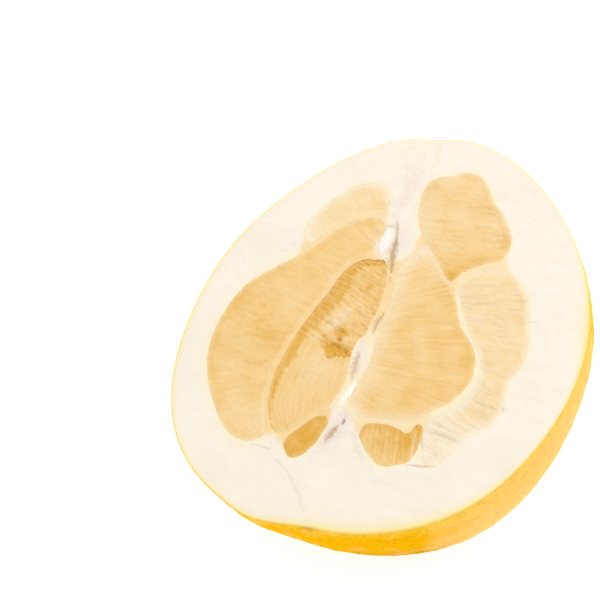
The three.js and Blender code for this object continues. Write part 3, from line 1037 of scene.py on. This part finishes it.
class Shader:
    """A material with short names for adding and linking nodes."""

    def __init__(self, name):
        self.material = bpy.data.materials.new(name)
        self.material.use_nodes = True
        self.tree = self.material.node_tree
        self.surface = self.tree.nodes["Principled BSDF"]

    def node(self, kind, inputs, **settings):
        """Adds a node with these settings and fills its inputs."""
        made = self.tree.nodes.new(kind)
        for name, value in settings.items():
            setattr(made, name, value)
        return self.fill(made, inputs)

    def fill(self, node, inputs):
        """Links a node's output to each input, or sets the input to a number or colour."""
        for name, value in inputs.items():
            if isinstance(value, bpy.types.NodeSocket):
                self.tree.links.new(value, node.inputs[name])
            else:
                node.inputs[name].default_value = value
        return node

    def set(self, **values):
        self.fill(self.surface, {name.replace("_", " "): value for name, value in values.items()})

    def field(self, name, output="Fac"):
        return self.node("ShaderNodeAttribute", {}, attribute_name=name).outputs[output]

    def place(self):
        return self.node("ShaderNodeTexCoord", {}).outputs["Object"]

    def axis(self, name):
        return self.node("ShaderNodeSeparateXYZ", {0: self.place()}).outputs[name]

    def noise(self, scale, detail=3.0, roughness=0.55, where=None):
        inputs = {"Vector": where or self.place(), "Scale": scale, "Detail": detail, "Roughness": roughness}
        return self.node("ShaderNodeTexNoise", inputs).outputs["Fac"]

    def math(self, operation, first, second):
        return self.node("ShaderNodeMath", {0: first, 1: second}, operation=operation).outputs[0]

    def add(self, first, second):
        return self.math("ADD", first, second)

    def times(self, first, second):
        return self.math("MULTIPLY", first, second)

    def span(self, value, low, high, to_low=0.0, to_high=1.0):
        inputs = {"Value": value, "From Min": low, "From Max": high, "To Min": to_low, "To Max": to_high}
        return self.node("ShaderNodeMapRange", inputs).outputs["Result"]

    def mix(self, share, first, second):
        """Mixes two colours. The node's colour sockets are told apart by their number."""
        return self.node("ShaderNodeMix", {0: share, 6: first, 7: second}, data_type="RGBA").outputs[2]

    def bump(self, height, strength, distance):
        made = self.node("ShaderNodeBump", {"Height": height, "Strength": strength, "Distance": distance})
        self.set(Normal=made.outputs["Normal"])


def pith_clouds(shader):
    return shader.mix(shader.span(shader.noise(45, 4), 0.3, 0.7), PITH_WHITE, PITH_CREAM)


def rind_material():
    """Golden peel with pores, paler by the cut, greener to the stem end, orange on one side and darker
    below as painted shade.
    """
    shader = Shader("rind_peel")
    patches = shader.span(shader.noise(22, 4), 0.3, 0.7, -0.25, 0.25)
    mottle = shader.span(shader.noise(130, 4), 0.3, 0.7, -0.3, 0.3)
    below = shader.field("below")
    green = shader.add(shader.span(shader.axis("Y"), *PEEL_GREEN), patches)
    turn_x, turn_y = PEEL_ORANGE_TOWARDS
    towards = shader.add(shader.times(shader.axis("X"), turn_x), shader.times(shader.axis("Y"), turn_y))
    orange = shader.add(shader.span(towards, *PEEL_ORANGE), mottle)
    # Painted shade: the peel darkens the further it lies below the cut
    deep = shader.add(shader.span(below, *PEEL_PAINTED_SHADE), patches)
    pale = shader.add(shader.span(below, *PEEL_PALE, 0.9, 0.0), mottle)
    colour = shader.mix(shader.span(deep, 0.1, 1.0), RIND_GOLD, RIND_PAINTED_SHADE)
    colour = shader.mix(shader.span(orange, 0.0, 1.0), colour, RIND_ORANGE)
    colour = shader.mix(shader.span(green, 0.2, 0.9), colour, RIND_GREEN)
    colour = shader.mix(shader.span(pale, 0.2, 1.0, 0.0, 0.45), colour, RIND_PALE)
    pores = shader.node("ShaderNodeTexVoronoi", {"Vector": shader.place(), "Scale": 560}, feature="F1")
    pore = shader.span(pores.outputs["Distance"], 0.0, 0.42, 1.0, 0.0)
    colour = shader.mix(shader.times(pore, 0.4), colour, PORE_TINT)
    freckles = shader.span(shader.noise(260, 2), 0.66, 0.74)
    colour = shader.mix(shader.times(freckles, 0.25), colour, FRECKLE_TINT)
    colour = shader.mix(shader.times(shader.field("scar"), 0.8), colour, SCAR_TINT)
    peel = shader.field("peel")
    colour = shader.mix(shader.span(peel, 0.0, 0.5), colour, RIND_INNER)
    colour = shader.mix(shader.span(peel, 0.5, 1.0), colour, pith_clouds(shader))
    waxy = shader.span(orange, 0.0, 1.0, 0.0, 0.12)
    shader.set(Base_Color=colour, Roughness=0.48, Specular_IOR_Level=waxy)
    shader.set(Subsurface_Weight=0.06, Subsurface_Radius=(0.004, 0.002, 0.001))
    swell = shader.span(shader.noise(180, 3), 0.2, 0.8)
    skin = shader.math("SUBTRACT", swell, shader.times(pore, 1.5))
    shader.bump(shader.times(skin, shader.span(peel, 0.0, 0.2, 1.0, 0.0)), 0.6, 0.0005)
    return shader.material


def pith_material():
    """Soft white, cream and pinkish in clouds, golden by the pulp and yellowish by the peel."""
    shader = Shader("pith_white")
    blush = shader.times(shader.field("blush"), shader.span(shader.noise(220, 4), 0.35, 0.65))
    colour = shader.mix(blush, pith_clouds(shader), PITH_BLUSH)
    membrane = shader.mix(shader.field("golden"), MEMBRANE, MEMBRANE_GOLD)
    film = shader.times(shader.field("film"), shader.span(shader.noise(300, 2), 0.2, 0.8, 0.75, 1.0))
    colour = shader.mix(film, colour, membrane)
    colour = shader.mix(shader.field("rim"), colour, RIND_INNER)
    ragged = shader.span(shader.noise(700, 3), 0.25, 0.6, 0.55, 1.0)
    stain = shader.times(shader.field("stain", "Alpha"), ragged)
    colour = shader.mix(stain, colour, shader.field("stain", "Color"))
    shader.set(Base_Color=colour, Roughness=0.8, Specular_IOR_Level=0.2)
    shader.set(Subsurface_Weight=0.15, Subsurface_Radius=(0.004, 0.003, 0.002))
    shader.bump(shader.noise(1500, 4, 0.65), 0.2, 0.0003)
    return shader.material


def pulp_material(name):
    """Juice sacs in tones of gold, with hairlines that follow the grain."""
    shader = Shader(name)
    grain = shader.field("grain", "Vector")
    hair = shader.noise(1.0, 3, 0.6, where=grain)
    lines = shader.field("lines")
    gold = shader.add(shader.field("gold"), shader.span(shader.noise(420, 3), 0.3, 0.7, -0.05, 0.05))
    gold = shader.add(gold, shader.times(lines, shader.span(hair, 0.3, 0.7, -0.22, 0.22)))
    ramp = shader.node("ShaderNodeValToRGB", {"Fac": gold})
    ramp.color_ramp.elements.new(0.5)
    for element, tone in zip(ramp.color_ramp.elements, (PULP_PALE, PULP_GOLD, PULP_DEEP)):
        element.color = tone
    dark = shader.times(lines, shader.span(hair, 0.58, 0.68, 0.0, 0.35))
    colour = shader.mix(dark, ramp.outputs["Color"], SAC_LINE)
    colour = shader.mix(shader.field("film"), colour, SAC_FILM)
    strokes = shader.span(shader.noise(0.9, 3, 0.6, where=grain), 0.5, 0.62)
    colour = shader.mix(shader.times(shader.field("grey"), strokes), colour, SAC_GREY)
    shader.set(Base_Color=colour, Roughness=0.42, Specular_IOR_Level=0.35)
    shader.set(Subsurface_Weight=0.2, Subsurface_Radius=(0.004, 0.002, 0.001))
    shader.bump(hair, 0.25, 0.0003)
    return shader.material


# Setting: floor, light and camera

def make_floor():
    mesh = bpy.data.meshes.new("floor")
    corners = [(FLOOR_REACH * x, FLOOR_REACH * y, 0) for x, y in ((-1, -1), (1, -1), (1, 1), (-1, 1))]
    mesh.from_pydata(corners, [], [(0, 1, 2, 3)])
    shader = Shader("floor_white")
    shader.set(Base_Color=FLOOR_WHITE, Roughness=0.9)
    shader.set(Emission_Color=FLOOR_WHITE, Emission_Strength=FLOOR_GLOW)
    mesh.materials.append(shader.material)
    floor = add_object("floor", mesh)
    floor.location.z = -FLOOR_DROP


def make_light(name, place, size, power, colour):
    light = bpy.data.lights.new(name, "AREA")
    light.shape = "DISK"
    light.size = size
    light.energy = power
    light.color = colour
    lamp = add_object(name, light)
    lamp.location = place
    lamp.rotation_euler = (-Vector(place)).to_track_quat("-Z", "Y").to_euler()


def make_world(strength):
    world = bpy.data.worlds.new("studio")
    world.use_nodes = True
    background = world.node_tree.nodes["Background"]
    background.inputs["Color"].default_value = (1, 1, 1, 1)
    background.inputs["Strength"].default_value = strength
    bpy.context.scene.world = world


def make_camera():
    lens = bpy.data.cameras.new("view")
    lens.lens = VIEW_LENS
    camera = add_object("view", lens)
    centre, target = (Vector(point) for point in to_world(np.array([VIEW_CENTRE, VIEW_TARGET])))
    back = Vector((0, -math.cos(VIEW_ELEVATION), math.sin(VIEW_ELEVATION)))
    camera.location = centre + back * VIEW_DISTANCE * MM
    camera.rotation_euler = (target - camera.location).to_track_quat("-Z", "Y").to_euler()
    bpy.context.scene.camera = camera


make_camera()
make_floor()
make_world(WORLD_STRENGTH)
make_light("key", **KEY_LIGHT)
bpy.context.scene.view_settings.view_transform = "Standard"

make_rind(rind_material())
make_pith(pith_material())
pulp_materials = {slot: pulp_material(slot + "_sacs") for slot in ("pulp", "pulp_pale")}
for number, segment in enumerate(SEGMENTS):
    seed = FIRST_SAC_SEED + SAC_SEED_STEP * number
    make_segment(segment, seed, pulp_materials[segment["slot"]])
